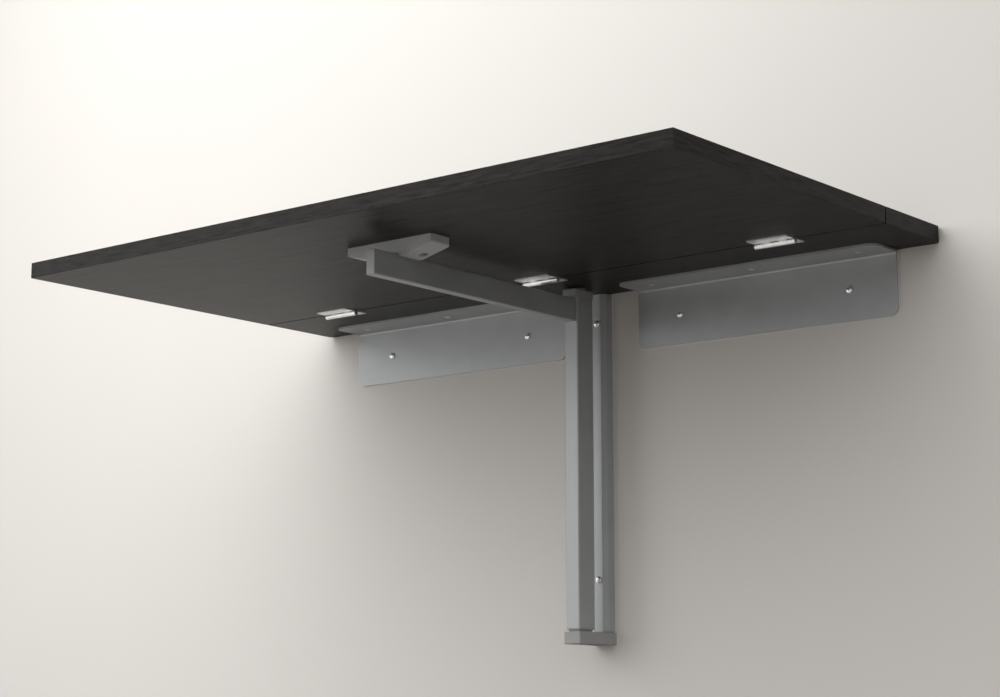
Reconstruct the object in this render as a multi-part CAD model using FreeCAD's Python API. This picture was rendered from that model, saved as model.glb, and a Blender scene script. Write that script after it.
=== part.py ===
import FreeCAD, Part
import math
import os
from collections import namedtuple

# A wall mounted drop leaf table. A narrow shelf stands on two steel wall brackets, and a leaf
# hangs from it on three butt hinges. A gate swings out from the wall to hold the leaf up: an
# upright tube that turns on two pivots, with one arm whose tip sits in a catch under the leaf.
# Millimetres. X runs along the wall, -Y comes out of it and Z is up. The origin lies on the
# wall plane at the middle of the shelf's rear edge. Each function returns one sub-part in place.

Vector = FreeCAD.Vector

# Boards
TOP_WIDTH = 900.0
TOP_DEPTH = 500.0
BOARD_THICKNESS = 18.0
SHELF_DEPTH = 118.0
BOARD_GAP = 2.0
SHELF_REAR_RADIUS = 6.0
BAND_THICKNESS = 1.0
BAND_REAR_STOP = 8.0
EASED_EDGE = 0.3

# Wall brackets
BRACKET_LENGTH = 343.0
BRACKET_CENTRE_X = 226.0
BRACKET_DROP = 72.0
BRACKET_REACH = 49.0
BRACKET_SHEET = 2.5
BRACKET_BEND_RADIUS = 2.5
BRACKET_DROP_CORNER = 9.0
BRACKET_REACH_CORNER = 12.0
WALL_SCREW_SPACING = 225.0
WALL_SCREW_DEPTH = 37.0
SHELF_SCREW_PITCH = 137.0
SHELF_SCREW_REACH = 24.0

# Wall rail
RAIL_TOP = 0.5
RAIL_BOTTOM = 401.0
RAIL_SHEET = 1.5
RAIL_BACK_HALF = 13.8
RAIL_SHOULDER_HALF = 10.3
RAIL_SHOULDER_REACH = 8.4
RAIL_SHOULDER_RADIUS = 3.0
RAIL_FRONT_HALF = 6.0
RAIL_FRONT = 12.6
RAIL_EDGE_RADIUS = 1.5
RAIL_SCREW_DEPTHS = (36.5, 341.0)

# Gate
PIVOT_REACH = 48.2
PIVOT_RADIUS = 4.0
UPRIGHT_WIDTH = 20.0
UPRIGHT_DEPTH = 30.0
UPRIGHT_RADIUS = 2.0
UPRIGHT_TOP = 12.0
UPRIGHT_BOTTOM = 398.4
TUBE_WALL = 1.5
ARM_WIDTH = 12.0
ARM_TOP = 13.5
ARM_HEIGHT = 27.5
ARM_RADIUS = 1.5
ARM_REACH = 410.0
PLUG_SPIGOT = 15.0
PLUG_WALL = 2.0
ARM_PLUG_RIM = 2.0
ARM_PLUG_CHAMFER = 0.7
FOOT_RIM = 1.8
FOOT_RIM_INSET = 0.5
PIN_CHAMFER = 0.8

# Cap on top of the upright
CAP_HALF_WIDTH = 10.7
CAP_FRONT = 66.9
CAP_REAR = 32.4
CAP_TOP = 2.0
CAP_RADIUS = 3.0
CAP_EDGE = 1.2

# Upper pivot
BUSH_RADIUS = 6.0
BUSH_DEPTH = 12.0
BUSH_FLANGE_RADIUS = 9.0
BUSH_FLANGE = 1.2
UPPER_PIN_IN_PLUG = 10.0
UPPER_PIN_END_GAP = 1.0

# Lower pivot and the shoe that carries it
SHOE_HALF_WIDTH = 11.8
SHOE_WALL_HALF_WIDTH = 15.9
SHOE_FRONT = 64.8
SHOE_RADIUS = 1.8
SHOE_TOP = 402.5
SHOE_BOTTOM = 416.5
SHOE_SKIN = 2.5
SHOE_EDGE = 0.8
SHOE_RIBS = 3
SHOE_RIB_PITCH = 17.0
SHOE_RIB_HALF = 1.0
SHOE_BOSS_RADIUS = 7.5
SHOE_SEAT_INSET = 0.8
SHOE_TONGUE = 16.0
SHOE_PAD_INSET = 2.5
SHOE_PAD_HEIGHT = 2.0
WASHER_RADIUS = 6.5
WASHER_SHEET = 1.2
AXIAL_PLAY = 0.2
LOWER_PIN_END_GAP = 2.0

# Hinges
HINGE_LENGTH = 50.0
HINGE_CENTRES = {"left": -318.0, "centre": 0.0, "right": 318.0}
HINGE_AXIS_REACH = 120.0
HINGE_PLATE_DEPTH = 19.0
HINGE_SHEET = 1.0
HINGE_CORNER = 1.5
KNUCKLE_RADIUS = 3.0
KNUCKLES = 5
KNUCKLE_CLEARANCE = 0.15
HINGE_PIN_RADIUS = 1.5
HINGE_SCREW_PITCH = 30.0
HINGE_SCREW_REACH = 11.5

# Catch under the leaf
CATCH_HALF_LENGTH = 60.0
CATCH_FRONT = 382.0
CATCH_REAR = 351.0
CATCH_END_HEIGHT = 9.0
CATCH_END_RADIUS = 2.5
CATCH_LUG_HEIGHT = 18.3
CATCH_LUG_HALF = 22.0
CATCH_LUG_RADIUS = 15.0
CATCH_MOUTH_HALF = 15.5
CATCH_NOTCH_HALF = 14.9
CATCH_EDGE = 0.8
CATCH_SCREW_X = 31.0
CATCH_SCREW_REACH = 361.0
CATCH_RECESS_RADIUS = 5.0
CATCH_RECESS_FLOOR = 5.0

# Clearances
RUNNING = 0.05
SEAT = 0.05
SLIP = 0.1

# Screws: countersunk ones, then the pan head ones that go into the wall
Screw = namedtuple("Screw", "head_radius head_height shank_radius length")
SHELF_SCREW = Screw(4.0, 2.3, 1.9, 17.0)
HINGE_SCREW = Screw(2.4, 1.0, 1.3, 14.0)
CATCH_SCREW = Screw(3.6, 2.2, 1.8, 17.0)
WALL_SCREW_HEAD_RADIUS = 4.2
WALL_SCREW_HEAD_TOP_RADIUS = 2.6
WALL_SCREW_HEAD = 2.6
WALL_SCREW_HEAD_RIM = 1.2
WALL_SCREW_NECK_RADIUS = 1.9
WALL_SCREW_THREAD_RADIUS = 2.5
WALL_SCREW_THREAD = 35.0
WALL_SCREW_RUNOUT = 1.0
WALL_SCREW_TIP = 6.0
WALL_SCREW_HOLE_RADIUS = 2.75

# Worked out from the above
HALF_WIDTH = TOP_WIDTH / 2
CORE_HALF_WIDTH = HALF_WIDTH - BAND_THICKNESS
UNDERSIDE = -BOARD_THICKNESS / 2
LEAF_REAR = SHELF_DEPTH + BOARD_GAP
HINGE_AXIS_Z = UNDERSIDE - KNUCKLE_RADIUS
KNUCKLE_SLOT = KNUCKLE_RADIUS + KNUCKLE_CLEARANCE
UPRIGHT_FRONT = PIVOT_REACH + UPRIGHT_DEPTH / 2
SHOE_PAD_TOP = SHOE_TOP - SHOE_PAD_HEIGHT
WASHER_TOP = UPRIGHT_BOTTOM + FOOT_RIM + AXIAL_PLAY
WASHER_SEAT = WASHER_TOP + WASHER_SHEET


def below(depth):
    """The height of a point this far below the boards' underside."""
    return UNDERSIDE - depth


def plan(z):
    """Places an outline given as (x, y) at height z."""
    return lambda p: Vector(p.x, p.y, z)


def front(y):
    """Places an outline given as (x, z) in the upright plane at y."""
    return lambda p: Vector(p.x, y, p.y)


def side(x):
    """Places an outline given as (y, z) in the upright plane at x."""
    return lambda p: Vector(x, p.x, p.y)


def rounded_wire(corners, place):
    """A closed wire through the corners (a, b, radius), with an arc at each radius above 0."""
    points = [Vector(a, b, 0) for a, b, radius in corners]
    turns = []
    for i, (a, b, radius) in enumerate(corners):
        back = (points[i - 1] - points[i]).normalize()
        onward = (points[(i + 1) % len(points)] - points[i]).normalize()
        half_angle = back.getAngle(onward) / 2
        setback = radius / math.tan(half_angle)
        start = points[i] + back * setback
        middle = points[i] + (back + onward).normalize() * (radius / math.sin(half_angle) - radius)
        end = points[i] + onward * setback
        turns.append((start, middle, end))
    edges = []
    for i, (start, middle, end) in enumerate(turns):
        edges.append(Part.LineSegment(place(turns[i - 1][2]), place(start)).toShape())
        if corners[i][2] > 0:
            edges.append(Part.Arc(place(start), place(middle), place(end)).toShape())
    return Part.Wire(edges)


def prism(corners, place, along):
    """The outline through the corners, pushed along a vector."""
    return Part.Face(rounded_wire(corners, place)).extrude(along)


def standing(corners, z_low, z_high):
    """A plan outline (x, y) raised from one height to another."""
    return prism(corners, plan(z_low), Vector(0, 0, z_high - z_low))


def rectangle(a_low, a_high, b_low, b_high, radius=0.0):
    """The corners of a rectangle, anticlockwise, all rounded by one radius."""
    corners = [(a_low, b_low), (a_high, b_low), (a_high, b_high), (a_low, b_high)]
    return [(a, b, radius) for a, b in corners]


def both_halves(right):
    """The corners of a symmetric outline, from those of its right half."""
    return right + [(-a, b, radius) for a, b, radius in reversed(right)]


def inset(corners, by):
    """An anticlockwise outline's corners with every side moved in, and its arcs kept concentric."""
    points = [Vector(a, b, 0) for a, b, radius in corners]
    moved = []
    for i, (a, b, radius) in enumerate(corners):
        before = (points[i] - points[i - 1]).normalize()
        after = (points[(i + 1) % len(points)] - points[i]).normalize()
        inward = Vector(-before.y - after.y, before.x + after.x, 0) * (by / (1 + before.dot(after)))
        moved.append((a + inward.x, b + inward.y, max(radius - by, 0.0)))
    return moved


def turned(profile):
    """A solid turned about the Z axis from a half outline of (radius, z, corner radius)."""
    half = Part.Face(rounded_wire(profile, front(0)))
    return half.revolve(Vector(0, 0, 0), Vector(0, 0, 1), 360)


def cylinder(radius, x, y, z_low, z_high):
    return Part.makeCylinder(radius, z_high - z_low, Vector(x, y, z_low))


def rod_x(radius, x_low, x_high, y, z):
    return Part.makeCylinder(radius, x_high - x_low, Vector(x_low, y, z), Vector(1, 0, 0))


def level_edges(shape, z_low=-math.inf):
    """The edges of a shape that run level, at height z_low or above."""
    edges = [edge for edge in shape.Edges if edge.BoundBox.ZLength < 1e-3]
    return [edge for edge in edges if edge.BoundBox.ZMin > z_low - 1e-3]


def upward_screw(screw, x, y, z, grow=0.0):
    """A countersunk screw driven up from z, or with grow the hole that it leaves."""
    shape = turned([
        (0, 0, 0),
        (screw.head_radius + grow, 0, 0),
        (screw.shank_radius + grow, screw.head_height, 0),
        (screw.shank_radius + grow, screw.length + grow, 0),
        (0, screw.length + grow, 0),
    ])
    return shape.translated(Vector(x, y, z))


def screws_up(screw, spots, z, grow=0.0):
    return [upward_screw(screw, x, y, z, grow) for x, y in spots]


def wall_screw(x, z, seat):
    """A pan head screw driven into the wall, its head seated this far out from the wall."""
    thread_start = seat + WALL_SCREW_RUNOUT
    thread_end = thread_start + WALL_SCREW_THREAD
    shape = turned([
        (0, -WALL_SCREW_HEAD, 0),
        (WALL_SCREW_HEAD_TOP_RADIUS, -WALL_SCREW_HEAD, 0),
        (WALL_SCREW_HEAD_RADIUS, -WALL_SCREW_HEAD_RIM, 0),
        (WALL_SCREW_HEAD_RADIUS, 0, 0),
        (WALL_SCREW_NECK_RADIUS, 0, 0),
        (WALL_SCREW_NECK_RADIUS, seat, 0),
        (WALL_SCREW_THREAD_RADIUS, thread_start, 0),
        (WALL_SCREW_THREAD_RADIUS, thread_end, 0),
        (0, thread_end + WALL_SCREW_TIP, 0),
    ])
    into_wall = shape.rotated(Vector(0, 0, 0), Vector(1, 0, 0), -90)
    return into_wall.translated(Vector(x, -seat, z))


def wall_screw_hole(x, z, depth):
    """The hole for a wall screw, from the wall plane out."""
    return Part.makeCylinder(WALL_SCREW_HOLE_RADIUS, depth, Vector(x, 0, z), Vector(0, -1, 0))


# Where the screws go: (x, z) on the wall, and (x, y) under the boards
BRACKET_WALL_SPOTS = [
    (sign * BRACKET_CENTRE_X + step * WALL_SCREW_SPACING / 2, below(WALL_SCREW_DEPTH))
    for sign in (-1, 1)
    for step in (-1, 1)
]
BRACKET_SHELF_SPOTS = [
    (sign * BRACKET_CENTRE_X + step * SHELF_SCREW_PITCH, -SHELF_SCREW_REACH)
    for sign in (-1, 1)
    for step in (-1, 0, 1)
]
CATCH_SPOTS = [(sign * CATCH_SCREW_X, -CATCH_SCREW_REACH) for sign in (-1, 1)]


def hinge_spots(direction):
    """Screw places in the hinge plates, behind the hinge axis with 1 and in front with -1."""
    y = -HINGE_AXIS_REACH + direction * HINGE_SCREW_REACH
    return [(x + step * HINGE_SCREW_PITCH / 2, y) for x in HINGE_CENTRES.values() for step in (-1, 1)]


# The boards: each is cut from a whole one, whose edge bands are what lies in the band spaces

def whole_board(outline):
    """A board with its bands on, and the long edges of both faces eased."""
    board = standing(outline, UNDERSIDE, UNDERSIDE + BOARD_THICKNESS)
    return board.makeChamfer(EASED_EDGE, level_edges(board))


def band_space(x_low, x_high, y_low, y_high):
    return standing(rectangle(x_low, x_high, y_low, y_high), UNDERSIDE, UNDERSIDE + BOARD_THICKNESS)


def end_band_spaces(y_low, y_high):
    """The spaces of the bands on a board's two ends."""
    return [
        band_space(-HALF_WIDTH, -CORE_HALF_WIDTH, y_low, y_high),
        band_space(CORE_HALF_WIDTH, HALF_WIDTH, y_low, y_high),
    ]


def bands(board, spaces):
    return Part.makeCompound([band for space in spaces for band in board.common(space).Solids])


# The shelf and its fixings

def whole_shelf():
    return whole_board(both_halves([
        (HALF_WIDTH, -SHELF_DEPTH, 0),
        (HALF_WIDTH, 0, SHELF_REAR_RADIUS),
    ]))


def shelf_band_spaces():
    return end_band_spaces(-SHELF_DEPTH, -BAND_REAR_STOP)


def shelf_board():
    holes = screws_up(SHELF_SCREW, BRACKET_SHELF_SPOTS, below(BRACKET_SHEET), SEAT)
    holes += screws_up(HINGE_SCREW, hinge_spots(1), below(HINGE_SHEET), SEAT)
    holes.append(cylinder(BUSH_RADIUS + SEAT, 0, -PIVOT_REACH, UNDERSIDE, UNDERSIDE + BUSH_DEPTH + SLIP))
    return whole_shelf().cut(shelf_band_spaces() + holes)


def shelf_end_bands():
    return bands(whole_shelf(), shelf_band_spaces())


def wall_bracket(centre_x):
    """A sheet bent to an L, with its free corners rounded and its screw holes cut."""
    outer = BRACKET_BEND_RADIUS + BRACKET_SHEET
    low = centre_x - BRACKET_LENGTH / 2
    high = centre_x + BRACKET_LENGTH / 2
    angle = prism([
        (0, below(BRACKET_DROP), 0),
        (0, UNDERSIDE, outer),
        (-BRACKET_REACH, UNDERSIDE, 0),
        (-BRACKET_REACH, below(BRACKET_SHEET), 0),
        (-BRACKET_SHEET, below(BRACKET_SHEET), BRACKET_BEND_RADIUS),
        (-BRACKET_SHEET, below(BRACKET_DROP), 0),
    ], side(low), Vector(BRACKET_LENGTH, 0, 0))
    wall_outline = [
        (low, below(BRACKET_DROP), BRACKET_DROP_CORNER),
        (high, below(BRACKET_DROP), BRACKET_DROP_CORNER),
        (high, UNDERSIDE, 0),
        (low, UNDERSIDE, 0),
    ]
    shelf_outline = [
        (low, -BRACKET_REACH, BRACKET_REACH_CORNER),
        (high, -BRACKET_REACH, BRACKET_REACH_CORNER),
        (high, 0, 0),
        (low, 0, 0),
    ]
    angle = angle.common(prism(wall_outline, front(-BRACKET_REACH), Vector(0, BRACKET_REACH, 0)))
    angle = angle.common(standing(shelf_outline, below(BRACKET_DROP), UNDERSIDE))
    holes = screws_up(SHELF_SCREW, BRACKET_SHELF_SPOTS, below(BRACKET_SHEET), SEAT)
    holes += [wall_screw_hole(x, z, BRACKET_SHEET) for x, z in BRACKET_WALL_SPOTS]
    return angle.cut(holes)


def bracket_wall_screws():
    return Part.makeCompound([wall_screw(x, z, BRACKET_SHEET) for x, z in BRACKET_WALL_SPOTS])


def bracket_shelf_screws():
    return Part.makeCompound(screws_up(SHELF_SCREW, BRACKET_SHELF_SPOTS, below(BRACKET_SHEET)))


def rail_outline(by=0.0):
    """The rail's section (x, y) moved in by a distance from its sides, but not from the wall."""
    slope = (RAIL_BACK_HALF - RAIL_SHOULDER_HALF) / RAIL_SHOULDER_REACH
    return inset(both_halves([
        (RAIL_FRONT_HALF, -RAIL_FRONT, RAIL_EDGE_RADIUS),
        (RAIL_SHOULDER_HALF, -RAIL_SHOULDER_REACH, RAIL_SHOULDER_RADIUS),
        (RAIL_BACK_HALF + by * slope, by, 0),
    ]), by)


def wall_rail():
    outer = standing(rail_outline(), below(RAIL_BOTTOM), below(RAIL_TOP))
    inner = standing(rail_outline(RAIL_SHEET), below(RAIL_BOTTOM), below(RAIL_TOP))
    return outer.cut([inner] + [wall_screw_hole(0, below(depth), RAIL_FRONT) for depth in RAIL_SCREW_DEPTHS])


def rail_wall_screws():
    return Part.makeCompound([wall_screw(0, below(depth), RAIL_FRONT) for depth in RAIL_SCREW_DEPTHS])


# The pivots on the wall side

def shelf_pivot_bush():
    bush = cylinder(BUSH_RADIUS, 0, -PIVOT_REACH, UNDERSIDE, UNDERSIDE + BUSH_DEPTH)
    flange = cylinder(BUSH_FLANGE_RADIUS, 0, -PIVOT_REACH, below(BUSH_FLANGE), UNDERSIDE)
    bore = cylinder(PIVOT_RADIUS + RUNNING, 0, -PIVOT_REACH, below(BUSH_FLANGE), UNDERSIDE + BUSH_DEPTH)
    return bush.fuse(flange).cut(bore).removeSplitter()


def shoe_shell():
    """The shoe's body, open below, with a boss for the pin and ribs left across its hollow."""
    bottom = below(SHOE_BOTTOM)
    ceiling = below(SHOE_TOP + SHOE_SKIN)
    outline = both_halves([
        (SHOE_HALF_WIDTH, -SHOE_FRONT, SHOE_RADIUS),
        (SHOE_WALL_HALF_WIDTH, 0, 0),
    ])
    body = standing(outline, bottom, below(SHOE_TOP))
    body = body.makeChamfer(SHOE_EDGE, level_edges(body))
    left_in = [cylinder(SHOE_BOSS_RADIUS, 0, -PIVOT_REACH, bottom, ceiling)]
    for step in range(SHOE_RIBS):
        y = -PIVOT_REACH + step * SHOE_RIB_PITCH
        rib = rectangle(-SHOE_WALL_HALF_WIDTH, SHOE_WALL_HALF_WIDTH, y - SHOE_RIB_HALF, y + SHOE_RIB_HALF)
        left_in.append(standing(rib, bottom, ceiling))
    hollow = standing(inset(outline, SHOE_SKIN), bottom, ceiling)
    return body.cut(hollow.cut(left_in))


def pivot_shoe():
    """The shell with a seat and tongue for the rail's end, and a pad that the washer is let into."""
    top = below(SHOE_TOP)
    pad_top = below(SHOE_PAD_TOP)
    seat = standing(rail_outline(SHOE_SEAT_INSET), top, below(RAIL_BOTTOM))
    tongue = standing(rail_outline(RAIL_SHEET + SLIP), top, below(RAIL_BOTTOM - SHOE_TONGUE))
    pad = standing(inset(upright_outline(), SHOE_PAD_INSET), top, pad_top)
    recess = cylinder(WASHER_RADIUS + SLIP, 0, -PIVOT_REACH, below(WASHER_SEAT), pad_top)
    pin_hole = cylinder(PIVOT_RADIUS + SEAT, 0, -PIVOT_REACH, below(SHOE_BOTTOM - SHOE_SKIN), pad_top)
    return shoe_shell().fuse([seat, tongue, pad]).cut([recess, pin_hole]).removeSplitter()


def lower_pivot_pin():
    bottom = below(SHOE_BOTTOM - SHOE_SKIN)
    top = below(UPRIGHT_BOTTOM - PLUG_SPIGOT + LOWER_PIN_END_GAP)
    pin = cylinder(PIVOT_RADIUS, 0, -PIVOT_REACH, bottom, top)
    return pin.makeChamfer(PIN_CHAMFER, level_edges(pin, top))


def pivot_washer():
    ring = cylinder(WASHER_RADIUS, 0, -PIVOT_REACH, below(WASHER_SEAT), below(WASHER_TOP))
    hole = cylinder(PIVOT_RADIUS + SEAT, 0, -PIVOT_REACH, below(WASHER_SEAT), below(WASHER_TOP))
    return ring.cut(hole)


# The hinges

def knuckle_span(index):
    """The low and high x of one knuckle, measured from the hinge's left end."""
    width = HINGE_LENGTH / KNUCKLES
    return index * width + KNUCKLE_CLEARANCE / 2, (index + 1) * width - KNUCKLE_CLEARANCE / 2


def hinge_plate(centre_x, direction):
    """One plate of a butt hinge, behind its axis with direction 1 and in front with -1."""
    left = centre_x - HINGE_LENGTH / 2
    axis_y = -HINGE_AXIS_REACH
    far_y = axis_y + direction * HINGE_PLATE_DEPTH
    sheet = standing([
        (left, axis_y, 0),
        (left + HINGE_LENGTH, axis_y, 0),
        (left + HINGE_LENGTH, far_y, HINGE_CORNER),
        (left, far_y, HINGE_CORNER),
    ], below(HINGE_SHEET), UNDERSIDE)
    own_first = 0 if direction > 0 else 1
    slot_y = sorted((axis_y, axis_y + direction * KNUCKLE_SLOT))
    slots = []
    knuckles = []
    for index in range(KNUCKLES):
        low, high = knuckle_span(index)
        if index % 2 == own_first:
            knuckles.append(rod_x(KNUCKLE_RADIUS, left + low, left + high, axis_y, HINGE_AXIS_Z))
        else:
            slot = rectangle(left + low - KNUCKLE_CLEARANCE, left + high + KNUCKLE_CLEARANCE, *slot_y)
            slots.append(standing(slot, below(HINGE_SHEET), UNDERSIDE))
    bore = rod_x(HINGE_PIN_RADIUS + RUNNING, left, left + HINGE_LENGTH, axis_y, HINGE_AXIS_Z)
    seats = screws_up(HINGE_SCREW, hinge_spots(direction), below(HINGE_SHEET), SEAT)
    return sheet.cut(slots).fuse(knuckles).cut([bore] + seats).removeSplitter()


def hinge_pin(centre_x):
    half = HINGE_LENGTH / 2
    return rod_x(HINGE_PIN_RADIUS, centre_x - half, centre_x + half, -HINGE_AXIS_REACH, HINGE_AXIS_Z)


def hinge_screws(direction):
    return Part.makeCompound(screws_up(HINGE_SCREW, hinge_spots(direction), below(HINGE_SHEET)))


# The leaf and its catch

def whole_leaf():
    return whole_board(rectangle(-HALF_WIDTH, HALF_WIDTH, -TOP_DEPTH, -LEAF_REAR))


def leaf_band_spaces():
    front_rear = -TOP_DEPTH + BAND_THICKNESS
    front_space = band_space(-HALF_WIDTH, HALF_WIDTH, -TOP_DEPTH, front_rear)
    return [front_space] + end_band_spaces(front_rear, -LEAF_REAR)


def leaf_board():
    holes = screws_up(HINGE_SCREW, hinge_spots(-1), below(HINGE_SHEET), SEAT)
    holes += screws_up(CATCH_SCREW, CATCH_SPOTS, below(CATCH_RECESS_FLOOR), SEAT)
    return whole_leaf().cut(leaf_band_spaces() + holes)


def leaf_edge_bands():
    return bands(whole_leaf(), leaf_band_spaces())


def catch_block():
    """A moulded bar that thickens from both ends to two lugs, with a notch for the arm between."""
    profile = both_halves([
        (CATCH_NOTCH_HALF, below(ARM_TOP), 0),
        (CATCH_MOUTH_HALF, below(CATCH_LUG_HEIGHT), CATCH_EDGE),
        (CATCH_LUG_HALF, below(CATCH_LUG_HEIGHT), CATCH_LUG_RADIUS),
        (CATCH_HALF_LENGTH, below(CATCH_END_HEIGHT), CATCH_END_RADIUS),
        (CATCH_HALF_LENGTH, UNDERSIDE, 0),
    ])
    outline = both_halves([
        (CATCH_HALF_LENGTH, -CATCH_FRONT, CATCH_EDGE),
        (CATCH_HALF_LENGTH, -CATCH_REAR, CATCH_END_RADIUS),
    ])
    block = prism(profile, front(-CATCH_FRONT), Vector(0, CATCH_FRONT - CATCH_REAR, 0))
    block = block.common(standing(outline, below(CATCH_LUG_HEIGHT), UNDERSIDE))
    recesses = [
        cylinder(CATCH_RECESS_RADIUS, x, y, below(CATCH_LUG_HEIGHT), below(CATCH_RECESS_FLOOR))
        for x, y in CATCH_SPOTS
    ]
    seats = screws_up(CATCH_SCREW, CATCH_SPOTS, below(CATCH_RECESS_FLOOR), SEAT)
    return block.cut(recesses + seats)


def catch_screws():
    return Part.makeCompound(screws_up(CATCH_SCREW, CATCH_SPOTS, below(CATCH_RECESS_FLOOR)))


# The gate

def upright_outline():
    half = UPRIGHT_WIDTH / 2
    return rectangle(-half, half, -UPRIGHT_FRONT, -UPRIGHT_FRONT + UPRIGHT_DEPTH, UPRIGHT_RADIUS)


def upright_solid(by=0.0):
    """The upright as a filled bar, with its sides moved in by a distance."""
    return standing(inset(upright_outline(), by), below(UPRIGHT_BOTTOM), below(UPRIGHT_TOP))


def upright_tube():
    return upright_solid().cut(upright_solid(TUBE_WALL))


def arm_outline():
    half = ARM_WIDTH / 2
    return rectangle(-half, half, below(ARM_TOP + ARM_HEIGHT), below(ARM_TOP), ARM_RADIUS)


def support_arm():
    """The arm's tube, cut at its rear end to fit round the upright that it is welded to."""
    tip_y = -ARM_REACH + ARM_PLUG_RIM
    length = Vector(0, -PIVOT_REACH - tip_y, 0)
    outer = prism(arm_outline(), front(tip_y), length)
    inner = prism(inset(arm_outline(), TUBE_WALL), front(tip_y), length)
    return outer.cut([inner, upright_solid()])


def arm_end_plug():
    rim = prism(arm_outline(), front(-ARM_REACH), Vector(0, ARM_PLUG_RIM, 0))
    front_edges = [edge for edge in rim.Edges if edge.BoundBox.YMax < -ARM_REACH + 1e-3]
    rim = rim.makeChamfer(ARM_PLUG_CHAMFER, front_edges)
    fit = inset(arm_outline(), TUBE_WALL + SLIP)
    spigot = prism(fit, front(-ARM_REACH + ARM_PLUG_RIM), Vector(0, PLUG_SPIGOT, 0))
    hollow = prism(inset(fit, PLUG_WALL), front(-ARM_REACH + ARM_PLUG_RIM), Vector(0, PLUG_SPIGOT, 0))
    return rim.fuse(spigot.cut(hollow)).removeSplitter()


def upright_spigot(low, high):
    """The part of a plug that fills the upright's end, between two depths."""
    return standing(inset(upright_outline(), TUBE_WALL + SLIP), below(low), below(high))


def top_pivot_plug():
    """A cap that overhangs the upright, with a spigot in the tube and a bore for the pin."""
    outline = rectangle(-CAP_HALF_WIDTH, CAP_HALF_WIDTH, -CAP_FRONT, -CAP_REAR, CAP_RADIUS)
    cap = standing(outline, below(UPRIGHT_TOP), below(CAP_TOP))
    cap = cap.makeChamfer(CAP_EDGE, level_edges(cap, below(CAP_TOP)))
    spigot = upright_spigot(UPRIGHT_TOP + PLUG_SPIGOT, UPRIGHT_TOP)
    floor = below(UPRIGHT_TOP + UPPER_PIN_IN_PLUG)
    bore = cylinder(PIVOT_RADIUS + SEAT, 0, -PIVOT_REACH, floor, below(CAP_TOP))
    return cap.fuse(spigot).cut(bore).removeSplitter()


def upper_pivot_pin():
    floor = below(UPRIGHT_TOP + UPPER_PIN_IN_PLUG)
    top = UNDERSIDE + BUSH_DEPTH - UPPER_PIN_END_GAP
    pin = cylinder(PIVOT_RADIUS, 0, -PIVOT_REACH, floor, top)
    return pin.makeChamfer(PIN_CHAMFER, level_edges(pin, top))


def bottom_pivot_plug():
    """A rimmed plug in the foot of the upright, bored through for the lower pin."""
    low = below(UPRIGHT_BOTTOM + FOOT_RIM)
    high = below(UPRIGHT_BOTTOM - PLUG_SPIGOT)
    rim = standing(inset(upright_outline(), FOOT_RIM_INSET), low, below(UPRIGHT_BOTTOM))
    spigot = upright_spigot(UPRIGHT_BOTTOM, UPRIGHT_BOTTOM - PLUG_SPIGOT)
    bore = cylinder(PIVOT_RADIUS + RUNNING, 0, -PIVOT_REACH, low, high)
    return rim.fuse(spigot).cut(bore).removeSplitter()


def write_parts():
    parts = {
        "shelf_board": shelf_board(),
        "shelf_end_bands": shelf_end_bands(),
        "left_wall_bracket": wall_bracket(-BRACKET_CENTRE_X),
        "right_wall_bracket": wall_bracket(BRACKET_CENTRE_X),
        "bracket_wall_screws": bracket_wall_screws(),
        "bracket_shelf_screws": bracket_shelf_screws(),
        "wall_rail": wall_rail(),
        "rail_wall_screws": rail_wall_screws(),
        "shelf_pivot_bush": shelf_pivot_bush(),
        "pivot_shoe": pivot_shoe(),
        "lower_pivot_pin": lower_pivot_pin(),
        "pivot_washer": pivot_washer(),
        "hinge_shelf_screws": hinge_screws(1),
        "hinge_leaf_screws": hinge_screws(-1),
        "leaf_board": leaf_board(),
        "leaf_edge_bands": leaf_edge_bands(),
        "catch_block": catch_block(),
        "catch_screws": catch_screws(),
        "upright_tube": upright_tube(),
        "support_arm": support_arm(),
        "arm_end_plug": arm_end_plug(),
        "top_pivot_plug": top_pivot_plug(),
        "upper_pivot_pin": upper_pivot_pin(),
        "bottom_pivot_plug": bottom_pivot_plug(),
    }
    for place, centre_x in HINGE_CENTRES.items():
        parts[place + "_hinge_shelf_plate"] = hinge_plate(centre_x, 1)
        parts[place + "_hinge_leaf_plate"] = hinge_plate(centre_x, -1)
        parts[place + "_hinge_pin"] = hinge_pin(centre_x)
    os.makedirs("parts", exist_ok=True)
    for name, shape in parts.items():
        shape.exportStep("parts/" + name + ".step")


write_parts()
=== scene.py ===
import bpy, bmesh, math
from mathutils import Matrix, Vector


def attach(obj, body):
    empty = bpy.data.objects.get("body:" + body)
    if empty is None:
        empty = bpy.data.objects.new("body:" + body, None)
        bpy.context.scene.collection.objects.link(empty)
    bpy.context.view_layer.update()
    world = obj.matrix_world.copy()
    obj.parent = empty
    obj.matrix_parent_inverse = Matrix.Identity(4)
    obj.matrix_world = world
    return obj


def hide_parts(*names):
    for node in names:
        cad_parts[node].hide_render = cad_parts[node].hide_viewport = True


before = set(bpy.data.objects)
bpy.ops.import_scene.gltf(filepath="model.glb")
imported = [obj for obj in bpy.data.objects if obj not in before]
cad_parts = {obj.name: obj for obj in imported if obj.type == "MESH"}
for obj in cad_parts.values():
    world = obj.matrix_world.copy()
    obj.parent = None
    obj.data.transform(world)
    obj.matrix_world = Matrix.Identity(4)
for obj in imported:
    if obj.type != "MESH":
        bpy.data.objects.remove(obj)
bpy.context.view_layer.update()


# --- Shelf board and leaf board ---
# Two 18 mm particle boards, faced with a black-brown stained veneer under a satin lacquer.
# The grain runs along the wall on both, so that it carries on across the gap between them.

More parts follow.
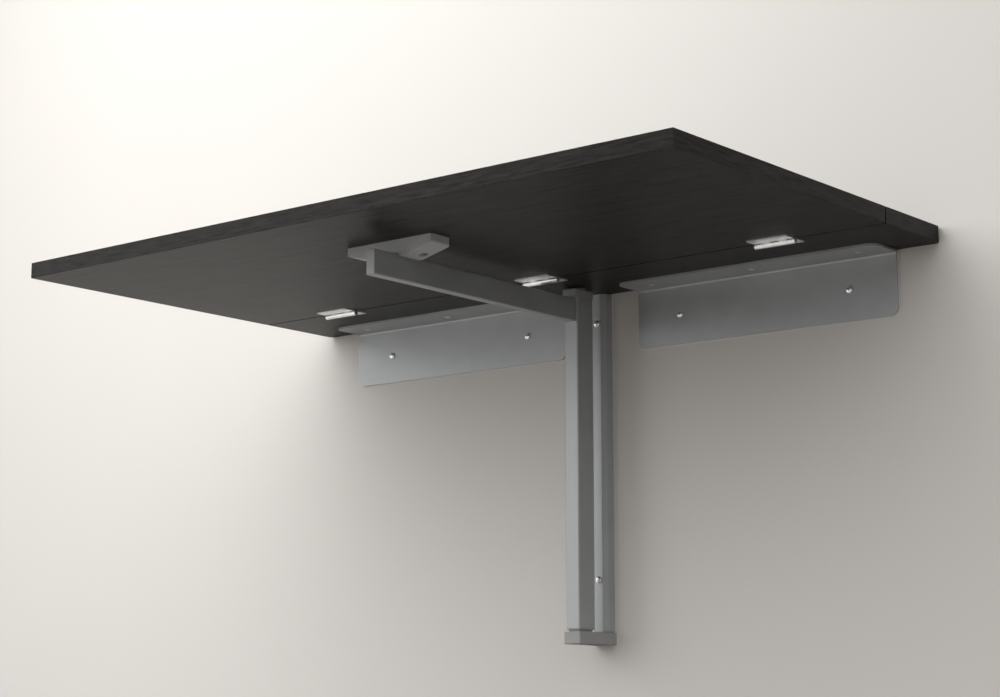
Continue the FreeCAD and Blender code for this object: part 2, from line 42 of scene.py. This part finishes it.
def start_finish(name, roughness, metallic=0.0):
    """A new material, its node tree and its surface shader."""
    material = bpy.data.materials.new(name)
    material.use_nodes = True
    tree = material.node_tree
    surface = tree.nodes["Principled BSDF"]
    surface.inputs["Roughness"].default_value = roughness
    surface.inputs["Metallic"].default_value = metallic
    return material, tree, surface


def place(tree, stretch):
    """The point on the piece, in metres, with each axis multiplied by its own stretch."""
    point = tree.nodes.new("ShaderNodeTexCoord")
    mapping = tree.nodes.new("ShaderNodeMapping")
    mapping.inputs["Scale"].default_value = stretch
    tree.links.new(point.outputs["Object"], mapping.inputs["Vector"])
    return mapping.outputs["Vector"]


def mottle(tree, stretch, detail, roughness=0.5, distortion=0.0):
    """A soft random pattern, as a value near 0.5, finer along an axis with a higher stretch."""
    noise = tree.nodes.new("ShaderNodeTexNoise")
    noise.inputs["Scale"].default_value = 1.0
    noise.inputs["Detail"].default_value = detail
    noise.inputs["Roughness"].default_value = roughness
    noise.inputs["Distortion"].default_value = distortion
    tree.links.new(place(tree, stretch), noise.inputs["Vector"])
    return noise.outputs["Fac"]


def spread(tree, value, low, high, to_low=0.0, to_high=1.0):
    """The value, spread from low..high to another range and held inside it."""
    ranged = tree.nodes.new("ShaderNodeMapRange")
    ranged.inputs["From Min"].default_value = low
    ranged.inputs["From Max"].default_value = high
    ranged.inputs["To Min"].default_value = to_low
    ranged.inputs["To Max"].default_value = to_high
    tree.links.new(value, ranged.inputs["Value"])
    return ranged.outputs["Result"]


def times(colour, factor):
    """A colour made darker or lighter."""
    return tuple(factor * part for part in colour)


def blend_colours(tree, value, first, second):
    """A colour from first, where the value is 0, to second, where it is 1. Either may be a socket."""
    mix = tree.nodes.new("ShaderNodeMix")
    mix.data_type = "RGBA"
    tree.links.new(value, mix.inputs["Factor"])
    for colour, socket in ((first, mix.inputs["A"]), (second, mix.inputs["B"])):
        if isinstance(colour, bpy.types.NodeSocket):
            tree.links.new(colour, socket)
        else:
            socket.default_value = (*colour, 1)
    return mix.outputs["Result"]


def relief(tree, surface, height, depth, strength):
    """Fine relief on the surface, this many metres deep."""
    bump = tree.nodes.new("ShaderNodeBump")
    bump.inputs["Strength"].default_value = strength
    bump.inputs["Distance"].default_value = depth
    tree.links.new(height, bump.inputs["Height"])
    tree.links.new(bump.outputs["Normal"], surface.inputs["Normal"])


def dress(material, *names):
    """Gives CAD nodes their finish."""
    for name in names:
        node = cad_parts[name]
        node.data.materials.clear()
        node.data.materials.append(material)


def stained_veneer(name, grain, pores, dark, light, gloss, streaks, roughness):
    """Stained veneer whose grain shows in its gloss too.

    Grain and pores give each pattern's stretch on the three axes: low along the grain, high across.
    """
    material, tree, surface = start_finish(name, roughness)
    figure = mottle(tree, grain, detail=5.0, roughness=0.6, distortion=0.35)
    lines = mottle(tree, pores, detail=2.0, roughness=0.6)
    stain = blend_colours(tree, spread(tree, figure, 0.3, 0.72), dark, light)
    colour = blend_colours(tree, spread(tree, lines, 0.55, 0.72), stain, times(dark, 0.6))
    tree.links.new(colour, surface.inputs["Base Color"])
    shine = spread(tree, figure, 0.28, 0.72, (1 - streaks) * gloss, (1 + streaks) * gloss)
    tree.links.new(shine, surface.inputs["Specular IOR Level"])
    uneven = spread(tree, figure, 0.25, 0.75, roughness - 0.06, roughness + 0.06)
    tree.links.new(uneven, surface.inputs["Roughness"])
    relief(tree, surface, spread(tree, lines, 0.5, 0.75, 1.0, 0.0), depth=0.00012, strength=0.6)
    return material


board_veneer = stained_veneer(
    "black-brown veneer", grain=(18.0, 290.0, 290.0), pores=(90.0, 1500.0, 1500.0),
    dark=(0.004, 0.0035, 0.0032), light=(0.021, 0.0184, 0.0165), gloss=0.08, streaks=0.7, roughness=0.38)
dress(board_veneer, "shelf_board", "leaf_board")


# --- Edge bands ---
# Strips of the same veneer, 1 mm thick, glued round the boards' cut edges.
# The grain follows each strip, so the pattern is fine only through the boards' thickness.

band_veneer = stained_veneer(
    "black-brown edge band", grain=(34.0, 34.0, 330.0), pores=(150.0, 150.0, 1700.0),
    dark=(0.0035, 0.003, 0.0027), light=(0.012, 0.0103, 0.009), gloss=0.14, streaks=0.45, roughness=0.42)
dress(band_veneer, "leaf_edge_bands", "shelf_end_bands")


# --- Wall brackets ---
# Steel sheet bent to an L and powder coated in grey, one under each half of the shelf.
# The coat is a little uneven up close, with the orange-peel skin that such paint dries to.

def grey_coat(name, colour, roughness, sheen):
    """Grey paint with a share of metal flake, soft clouds in its colour and a fine skin."""
    material, tree, surface = start_finish(name, roughness, metallic=sheen)
    clouds = mottle(tree, (22, 22, 22), detail=4.0)
    specks = mottle(tree, (1900, 1900, 1900), detail=1.0)
    shade = blend_colours(tree, spread(tree, clouds, 0.3, 0.7), times(colour, 0.93), times(colour, 1.05))
    flakes = spread(tree, specks, 0.62, 0.8, 0.0, 0.35)
    tree.links.new(blend_colours(tree, flakes, shade, times(colour, 1.35)), surface.inputs["Base Color"])
    uneven = spread(tree, clouds, 0.3, 0.7, roughness - 0.04, roughness + 0.05)
    tree.links.new(uneven, surface.inputs["Roughness"])
    skin = mottle(tree, (1100, 1100, 1100), detail=2.0)
    relief(tree, surface, skin, depth=0.00003, strength=0.5)
    return material


steel_coat = grey_coat("grey powder coat", (0.41, 0.428, 0.44), roughness=0.42, sheen=0.32)
dress(steel_coat, "left_wall_bracket", "right_wall_bracket")


# --- Wall screws of the brackets ---
# Pan head wood screws, 5 mm thick and zinc plated, driven through the steel into the wall.
# Each has a cross recess in a domed head, a plain neck and a coarse thread to its point.

def bright_zinc(name, roughness):
    """Zinc plate: bright, with faint cloudy patches and fine wiping marks."""
    material, tree, surface = start_finish(name, roughness, metallic=1.0)
    patches = mottle(tree, (160, 160, 160), detail=3.0, distortion=0.4)
    marks = mottle(tree, (300, 4200, 2600), detail=1.0)
    tint = blend_colours(tree, spread(tree, patches, 0.3, 0.7), (0.70, 0.71, 0.73), (0.84, 0.835, 0.82))
    tree.links.new(tint, surface.inputs["Base Color"])
    uneven = spread(tree, marks, 0.3, 0.7, roughness - 0.07, roughness + 0.09)
    tree.links.new(uneven, surface.inputs["Roughness"])
    relief(tree, surface, marks, depth=0.000008, strength=0.4)
    return material


screw_zinc = bright_zinc("bright zinc screws", 0.26)
ROUND_STEPS = 32  # flats in one turn of a screw's head and shank


def turn_profile(mesh, profile):
    """Turns a line of (radius, height) points into a closed round shape about the Z axis."""
    points = [mesh.verts.new((radius, 0, height)) for radius, height in profile]
    lines = [mesh.edges.new(pair) for pair in zip(points, points[1:])]
    bmesh.ops.spin(mesh, geom=points + lines, cent=(0, 0, 0), axis=(0, 0, 1), angle=2 * math.pi,
                   steps=ROUND_STEPS, use_merge=True)
    bmesh.ops.remove_doubles(mesh, verts=mesh.verts, dist=1e-7)
    bmesh.ops.recalc_face_normals(mesh, faces=mesh.faces)


def sink_cross(mesh, core, reach, depth):
    """Sinks a cross recess, which narrows towards its floor, into the faces at the head's end."""
    arm_width = 2 * math.pi / ROUND_STEPS
    sunk = []
    for face in mesh.faces:
        middle = face.calc_center_median()
        if face.normal.z > -0.7 or middle.xy.length > reach:
            continue
        turn = math.atan2(middle.y, middle.x) % (math.pi / 2)
        if middle.xy.length < core or min(turn, math.pi / 2 - turn) < arm_width:
            sunk.append(face)
    grown = bmesh.ops.extrude_face_region(mesh, geom=sunk)["geom"]
    floor = [v for v in grown if isinstance(v, bmesh.types.BMVert)]
    bmesh.ops.delete(mesh, geom=[f for f in sunk if f.is_valid], context="FACES_ONLY")
    bmesh.ops.scale(mesh, verts=floor, vec=(0.55, 0.55, 1))
    bmesh.ops.translate(mesh, verts=floor, vec=(0, 0, depth))


def cut_thread(mesh, root, crest, pitch, start, turns, steps):
    """Winds a sharp ridge round the shank, with its foot sunk into the metal."""
    foot = root * 0.9
    ring = [mesh.verts.new(point) for point in (
        (foot, 0, start), (foot, 0, start + pitch * 0.55), (crest, 0, start + pitch * 0.3))]
    ring_edges = [mesh.edges.new((ring[i], ring[(i + 1) % 3])) for i in range(3)]
    mesh.faces.new(ring)
    wound = bmesh.ops.spin(mesh, geom=ring_edges, cent=(0, 0, 0), axis=(0, 0, 1), dvec=(0, 0, pitch / steps),
                           angle=2 * math.pi * turns, steps=steps * turns)["geom_last"]
    mesh.faces.new([v for v in wound if isinstance(v, bmesh.types.BMVert)])


def finish_screws(name, mesh, body, replaced):
    """Makes the mesh a zinc plated object that rides on a body, in place of a CAD node."""
    bmesh.ops.recalc_face_normals(mesh, faces=mesh.faces)
    data = bpy.data.meshes.new(name)
    mesh.to_mesh(data)
    mesh.free()
    data.materials.append(screw_zinc)
    data.shade_smooth()
    data.set_sharp_from_angle(angle=math.radians(35))
    piece = bpy.data.objects.new(name, data)
    bpy.context.scene.collection.objects.link(piece)
    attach(piece, body)
    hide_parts(replaced)


def repeat(make, spots, turn):
    """One mesh with the shape that make() builds at every spot, turned first."""
    whole = bmesh.new()
    for spot in spots:
        single = make()
        bmesh.ops.transform(single, verts=single.verts, matrix=Matrix.Translation(spot) @ turn)
        copy = bpy.data.meshes.new("single")
        single.to_mesh(copy)
        single.free()
        whole.from_mesh(copy)
        bpy.data.meshes.remove(copy)
    return whole


WALL_SCREW_NECK = 0.0019
WALL_SCREW_CREST = 0.0025
WALL_SCREW_PITCH = 0.0022
WALL_SCREW_POINT = 0.0440


def pan_head_screw():
    """A wall screw along Z: its head ends at 0 and its shank goes up from there."""
    mesh = bmesh.new()
    dome = [(0, -0.0026), (0.0007, -0.0026), (0.0021, -0.00254), (0.0029, -0.0023), (0.0036, -0.0018),
            (0.0040, -0.0011), (0.0042, -0.0003), (0.0041, 0)]
    shank = [(WALL_SCREW_NECK, 0), (WALL_SCREW_NECK, 0.0372), (0, WALL_SCREW_POINT)]
    turn_profile(mesh, dome + shank)
    sink_cross(mesh, core=0.0007, reach=0.0021, depth=0.0016)
    cut_thread(mesh, WALL_SCREW_NECK, WALL_SCREW_CREST, WALL_SCREW_PITCH, start=0.0036, turns=15, steps=16)
    return mesh


INTO_WALL = Matrix.Rotation(math.radians(-90), 4, "X")
BRACKET_FACE = -0.0025
BRACKET_SCREW_Z = -0.046
bracket_spots = [Vector((x, BRACKET_FACE, BRACKET_SCREW_Z)) for x in (-0.3385, -0.1135, 0.1135, 0.3385)]
finish_screws("bracket_pan_head_screws", repeat(pan_head_screw, bracket_spots, INTO_WALL),
              "wall_frame", "bracket_wall_screws")


# --- Countersunk screws under the boards ---
# Flat head wood screws, zinc plated, with a cross recess: three up through each bracket,
# two in each hinge plate and one in each recess of the catch.

RIM_WIDTH = 0.00015
RIM_HEIGHT = 0.00012
FLAT_HEAD_POINT = 0.003


def flat_head_screw(head, height, shank, length):
    """A countersunk screw along Z: its flat head lies at 0 and its shank goes up from there."""
    mesh = bmesh.new()
    core = head * 0.18
    reach = head * 0.56
    turn_profile(mesh, [
        (0, 0), (core, 0), (reach, 0), (head - RIM_WIDTH, 0), (head, RIM_HEIGHT),
        (shank, height), (shank, length - FLAT_HEAD_POINT), (0, length),
    ])
    sink_cross(mesh, core, reach, depth=height * 0.7)
    return mesh


def shelf_screw():
    return flat_head_screw(head=0.004, height=0.0023, shank=0.0019, length=0.017)


def hinge_screw():
    return flat_head_screw(head=0.0024, height=0.001, shank=0.0013, length=0.014)


def catch_screw():
    return flat_head_screw(head=0.0036, height=0.0022, shank=0.0018, length=0.017)


UPWARDS = Matrix.Identity(4)
HINGE_SCREW_Z = -0.010
hinge_screw_x = [middle + step for middle in (-0.318, 0.0, 0.318) for step in (-0.015, 0.015)]
for name, body, make, spots in (
    ("bracket_shelf_screws", "wall_frame", shelf_screw,
     [Vector((middle + step, -0.024, -0.0115)) for middle in (-0.226, 0.226) for step in (-0.137, 0, 0.137)]),
    ("hinge_shelf_screws", "wall_frame", hinge_screw,
     [Vector((x, -0.1085, HINGE_SCREW_Z)) for x in hinge_screw_x]),
    ("hinge_leaf_screws", "drop_leaf", hinge_screw,
     [Vector((x, -0.1315, HINGE_SCREW_Z)) for x in hinge_screw_x]),
    ("catch_screws", "drop_leaf", catch_screw,
     [Vector((x, -0.361, -0.014)) for x in (-0.031, 0.031)]),
):
    finish_screws("cross_head_" + name, repeat(make, spots, UPWARDS), body, name)


# --- Wall rail and its screws ---
# Steel sheet formed to a flat-topped rib that covers the wall behind the gate, in the same grey coat.
# Two of the wall screws hold it, through the middle of the rib.

dress(steel_coat, "wall_rail")
RAIL_FACE = -0.0126
rail_spots = [Vector((0, RAIL_FACE, z)) for z in (-0.0455, -0.350)]
finish_screws("rail_pan_head_screws", repeat(pan_head_screw, rail_spots, INTO_WALL),
              "wall_frame", "rail_wall_screws")


# --- Pivots of the gate ---
# A grey moulded shoe under the rail and a flanged bush in the shelf hold the gate between them.
# Plain zinc plated pins join it to both, and its foot stands on a washer let into the shoe.

def moulded_grey(name, colour, roughness):
    """Moulded plastic with the fine spark-eroded texture of its tool."""
    material, tree, surface = start_finish(name, roughness)
    flow = mottle(tree, (30, 30, 30), detail=2.0)
    grit = mottle(tree, (2600, 2600, 2600), detail=2.0)
    shade = blend_colours(tree, spread(tree, flow, 0.3, 0.7), times(colour, 0.94), times(colour, 1.04))
    tree.links.new(shade, surface.inputs["Base Color"])
    uneven = spread(tree, grit, 0.3, 0.7, roughness - 0.05, roughness + 0.06)
    tree.links.new(uneven, surface.inputs["Roughness"])
    relief(tree, surface, grit, depth=0.00003, strength=0.6)
    return material


plug_grey = moulded_grey("grey moulded plastic", (0.40, 0.405, 0.405), 0.5)
dress(plug_grey, "pivot_shoe", "shelf_pivot_bush")
pin_zinc = bright_zinc("zinc plated pins", 0.3)
dress(pin_zinc, "lower_pivot_pin", "upper_pivot_pin", "pivot_washer")


# --- Gate ---
# Two rectangular steel tubes, welded to each other at the top and coated in the same grey.
# Moulded plugs are pushed into the three open ends, and the two pivot pins go into two of them.

dress(steel_coat, "upright_tube", "support_arm")
dress(plug_grey, "top_pivot_plug", "bottom_pivot_plug", "arm_end_plug")


# --- Hinges ---
# Three steel butt hinges, zinc plated, screwed to the undersides across the gap between the boards.
# Each has two stamped plates, with their edges rolled into knuckles round a pin.

hinge_zinc = bright_zinc("bright zinc hinges", 0.34)
for side in ("left", "centre", "right"):
    dress(hinge_zinc, side + "_hinge_shelf_plate", side + "_hinge_leaf_plate", side + "_hinge_pin")


# --- Catch under the leaf ---
# One moulding in a paler grey plastic, screwed up into the leaf.
# Its two ramps lead the arm's tip, from either side, up to a notch in the middle.

catch_grey = moulded_grey("pale grey moulded plastic", (0.56, 0.58, 0.592), 0.5)
dress(catch_grey, "catch_block")


# --- Room ---
# A pale painted wall at the table's back and a pale painted floor below it, both flat sheets.
# Each is clear from behind, and for light from a face that lies on it.

def joined(tree, operation, first, second):
    """Two values joined by one step of arithmetic. Either may be a number."""
    step = tree.nodes.new("ShaderNodeMath")
    step.operation = operation
    for value, socket in ((first, step.inputs[0]), (second, step.inputs[1])):
        if isinstance(value, bpy.types.NodeSocket):
            tree.links.new(value, socket)
        else:
            socket.default_value = value
    return step.outputs["Value"]


def shown(tree):
    """1 for a ray that the camera sees, straight or by a gloss or a glass, and 0 for light on its way."""
    path = tree.nodes.new("ShaderNodeLightPath")
    straight = joined(tree, "MAXIMUM", path.outputs["Is Camera Ray"], path.outputs["Is Glossy Ray"])
    return joined(tree, "MAXIMUM", straight, path.outputs["Is Transmission Ray"])


CONTACT = 0.0012  # a ray shorter than this comes from a face that lies on the wall


def room_side(name, corners, paint, bounce, roughness):
    """A flat sheet, seen only from the side that it faces, that throws back less light than it shows."""
    mesh = bmesh.new()
    mesh.faces.new([mesh.verts.new(corner) for corner in corners])
    data = bpy.data.meshes.new(name)
    mesh.to_mesh(data)
    mesh.free()
    sheet = bpy.data.objects.new(name, data)
    bpy.context.scene.collection.objects.link(sheet)
    material, tree, surface = start_finish(name + " paint", roughness)
    surface.inputs["Specular IOR Level"].default_value = 0.2
    clouds = mottle(tree, (3.0, 3.0, 3.0), detail=3.0)
    coat = blend_colours(tree, spread(tree, clouds, 0.3, 0.7), times(paint, 0.985), paint)
    tree.links.new(blend_colours(tree, shown(tree), bounce, coat), surface.inputs["Base Color"])
    relief(tree, surface, mottle(tree, (420, 420, 420), detail=4.0), depth=0.0002, strength=0.25)
    side = tree.nodes.new("ShaderNodeNewGeometry")
    path = tree.nodes.new("ShaderNodeLightPath")
    touching = joined(tree, "LESS_THAN", path.outputs["Ray Length"], CONTACT)
    clear = tree.nodes.new("ShaderNodeBsdfTransparent")
    choose = tree.nodes.new("ShaderNodeMixShader")
    tree.links.new(joined(tree, "MAXIMUM", side.outputs["Backfacing"], touching), choose.inputs["Fac"])
    tree.links.new(surface.outputs["BSDF"], choose.inputs[1])
    tree.links.new(clear.outputs["BSDF"], choose.inputs[2])
    tree.links.new(choose.outputs["Shader"], tree.nodes["Material Output"].inputs["Surface"])
    data.materials.append(material)


LEFT, RIGHT, FRONT = -5, 4, -5
WALL_Y = 0.0004
FLOOR_Z = -0.731
CEILING_Z = 2.4
room_side("wall", [(LEFT, WALL_Y, FLOOR_Z), (RIGHT, WALL_Y, FLOOR_Z), (RIGHT, WALL_Y, CEILING_Z),
                   (LEFT, WALL_Y, CEILING_Z)],
          paint=(0.82, 0.796, 0.765), bounce=(0.55, 0.54, 0.53), roughness=0.85)
room_side("floor", [(LEFT, FRONT, FLOOR_Z), (RIGHT, FRONT, FLOOR_Z), (RIGHT, WALL_Y, FLOOR_Z),
                    (LEFT, WALL_Y, FLOOR_Z)],
          paint=(0.70, 0.675, 0.645), bounce=(0.175, 0.158, 0.145), roughness=0.7)


# --- Light ---
# Two large round lamps: one above the front of the leaf's left half, and one low down, far to the left.
# The air of a pale room fills in: bright above, brighter to the left, and dim and warm below.

def soft_lamp(name, location, target, size, energy):
    """A round lamp that the camera doesn't see."""
    lamp_data = bpy.data.lights.new(name, "AREA")
    lamp_data.shape = "DISK"
    lamp_data.size = size
    lamp_data.energy = energy
    lamp_data.color = (1.0, 0.995, 0.985)
    lamp = bpy.data.objects.new(name, lamp_data)
    bpy.context.scene.collection.objects.link(lamp)
    lamp.visible_camera = False
    lamp.location = location
    lamp.rotation_euler = (Vector(target) - lamp.location).to_track_quat("-Z", "Y").to_euler()


soft_lamp("high lamp", location=(-0.50, -0.81, 0.67), target=(-0.32, 0, 0), size=1.8, energy=10.8)
soft_lamp("low lamp", location=(-1.68, -1.78, -0.16), target=(0, 0, -0.21), size=1.45, energy=6.1)

FROM_BELOW = 0.17
FROM_HORIZON = 0.50
FROM_OVERHEAD = 0.80
FROM_LEFT = 0.41
FROM_RIGHT = 0.12
FLOOR_TINT = (0.95, 0.89, 0.83)
AIR_TINT = (1.0, 0.995, 0.985)
room_air = bpy.data.worlds.new("pale room")
bpy.context.scene.world = room_air
room_air.use_nodes = True
air = room_air.node_tree
fill = air.nodes["Background"]
direction = air.nodes.new("ShaderNodeTexCoord")
parts = air.nodes.new("ShaderNodeSeparateXYZ")
air.links.new(direction.outputs["Generated"], parts.inputs["Vector"])
across, up = parts.outputs["X"], parts.outputs["Z"]
air.links.new(blend_colours(air, spread(air, up, -0.05, 0.05), FLOOR_TINT, AIR_TINT), fill.inputs["Color"])
from_front = spread(air, up, -0.05, 0.05, FROM_BELOW, FROM_HORIZON)
from_above = joined(air, "ADD", from_front, spread(air, up, 0.05, 1.0, 0.0, FROM_OVERHEAD))
from_left = spread(air, across, -1.0, 0.0, FROM_LEFT, 0.0)
from_right = spread(air, across, 0.0, 1.0, 0.0, FROM_RIGHT)
from_sides = joined(air, "ADD", from_left, from_right)
air.links.new(joined(air, "ADD", from_above, from_sides), fill.inputs["Strength"])
backdrop = air.nodes.new("ShaderNodeBackground")
backdrop.inputs["Color"].default_value = (1.0, 0.985, 0.965, 1)
air.links.new(spread(air, across, -0.7, 0.5, 0.85, 0.42), backdrop.inputs["Strength"])
pick = air.nodes.new("ShaderNodeMixShader")
air.links.new(shown(air), pick.inputs["Fac"])
air.links.new(fill.outputs["Background"], pick.inputs[1])
air.links.new(backdrop.outputs["Background"], pick.inputs[2])
air.links.new(pick.outputs["Shader"], air.nodes["World Output"].inputs["Surface"])
bpy.context.scene.view_settings.view_transform = "Standard"


# --- Camera ---
# A long lens, low down in front of the table's right end.
# It is turned left, towards the wall, and tilted up at the underside.

CAMERA_TURN = math.radians(39.364)
CAMERA_LIFT = math.radians(9.952)
camera_data = bpy.data.cameras.new("camera")
camera_data.sensor_width = 36.0
camera_data.lens = 76.42
camera = bpy.data.objects.new("camera", camera_data)
bpy.context.scene.collection.objects.link(camera)
camera.location = (1.4910, -2.0123, -0.5124)
looking = Vector((-math.sin(CAMERA_TURN) * math.cos(CAMERA_LIFT),
                  math.cos(CAMERA_TURN) * math.cos(CAMERA_LIFT), math.sin(CAMERA_LIFT)))
camera.rotation_euler = looking.to_track_quat("-Z", "Y").to_euler()
bpy.context.scene.camera = camera
